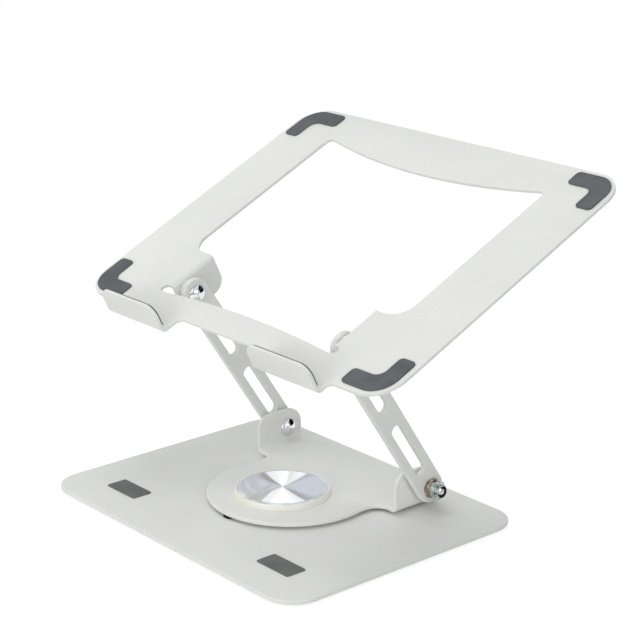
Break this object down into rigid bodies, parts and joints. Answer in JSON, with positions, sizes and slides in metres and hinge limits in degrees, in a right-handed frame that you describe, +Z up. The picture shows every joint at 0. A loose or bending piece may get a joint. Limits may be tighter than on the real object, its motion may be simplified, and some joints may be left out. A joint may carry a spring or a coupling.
{
  "type": "laptop stand",
  "caption": "Folding laptop stand: base plate with a turning bracket, slotted arms and an open tilting tray with front lips and grey pads.",
  "frame": {"origin": "on the desk under the swivel axis", "axes": "+X to the user's right, +Y away from the user towards the back, +Z up; stored raised, with the lips towards -Y"},
  "size_m": [0.2808, 0.2427, 0.2093],
  "materials": {
    "body": "white powder coat, satin",
    "pad_rubber": "mid-grey matt rubber",
    "foot_rubber": "matt",
    "zinc": "zinc plated",
    "chrome": "bright",
    "brass": "dull bronze tint",
    "nylon": "natural nylon",
    "black_plastic": "black",
    "ring_plastic": "ivory white",
    "disc": "turned, circular grain"
  },
  "bodies": {
    "base": {"base_plate": "body", "foot_front_left": "foot_rubber", "foot_front_right": "foot_rubber", "foot_rear_left": "foot_rubber", "foot_rear_right": "foot_rubber", "rest_pad_left": "pad_rubber", "rest_pad_right": "pad_rubber", "swivel_stud": "zinc", "stud_washer": "zinc", "stud_nut": "zinc"},
    "swivel": {"swivel_bracket": "body", "thrust_washer": "nylon", "glide_pads": "black_plastic", "knob_ring": "ring_plastic", "knob_disc": "disc", "lower_bolt_left": "chrome", "lower_bolt_right": "chrome", "lower_spacer_left": "nylon", "lower_spacer_right": "nylon", "lower_washer_left": "brass", "lower_washer_right": "brass", "lower_plain_washer_left": "brass", "lower_plain_washer_right": "brass", "lower_spring_washer_left": "zinc", "lower_spring_washer_right": "zinc", "lower_nut_left": "zinc", "lower_nut_right": "zinc", "lower_nut_insert_left": "black_plastic", "lower_nut_insert_right": "black_plastic"},
    "arms": {"arm_left": "body", "arm_right": "body"},
    "upper_pins": {"upper_bolt_left": "chrome", "upper_bolt_right": "chrome", "upper_spacer_left": "nylon", "upper_spacer_right": "nylon", "upper_washer_left": "zinc", "upper_washer_right": "zinc", "upper_nut_left": "zinc", "upper_nut_right": "zinc", "upper_nut_insert_left": "black_plastic", "upper_nut_insert_right": "black_plastic"},
    "tray": {"tray_frame": "body", "tray_pad_front_left": "pad_rubber", "tray_pad_front_right": "pad_rubber", "tray_pad_rear_left": "pad_rubber", "tray_pad_rear_right": "pad_rubber", "lip_pad_left": "pad_rubber", "lip_pad_right": "pad_rubber"}
  },
  "joints": [
    {"name": "swivel", "type": "hinge", "parent": "base", "child": "swivel", "pos_m": [0, 0, 0.0045], "axis": [0, 0, 1], "continuous": true},
    {"name": "arm_fold", "type": "hinge", "parent": "swivel", "child": "arms", "pos_m": [0, 0.0578, 0.019], "axis": [1, 0, 0], "range_deg": [-33, 56.2]},
    {"name": "upper_pivot_follow", "type": "hinge", "parent": "arms", "child": "upper_pins", "pos_m": [0, -0.01182, 0.12378], "axis": [1, 0, 0], "range_deg": [-57, 34]},
    {"name": "tray_tilt", "type": "hinge", "parent": "upper_pins", "child": "tray", "pos_m": [0, -0.01182, 0.12378], "axis": [1, 0, 0], "range_deg": [-24.8, 4]}
  ],
  "couplings": [
    {"joint": "upper_pivot_follow", "follows": "arm_fold", "ratio": -1}
  ]
}
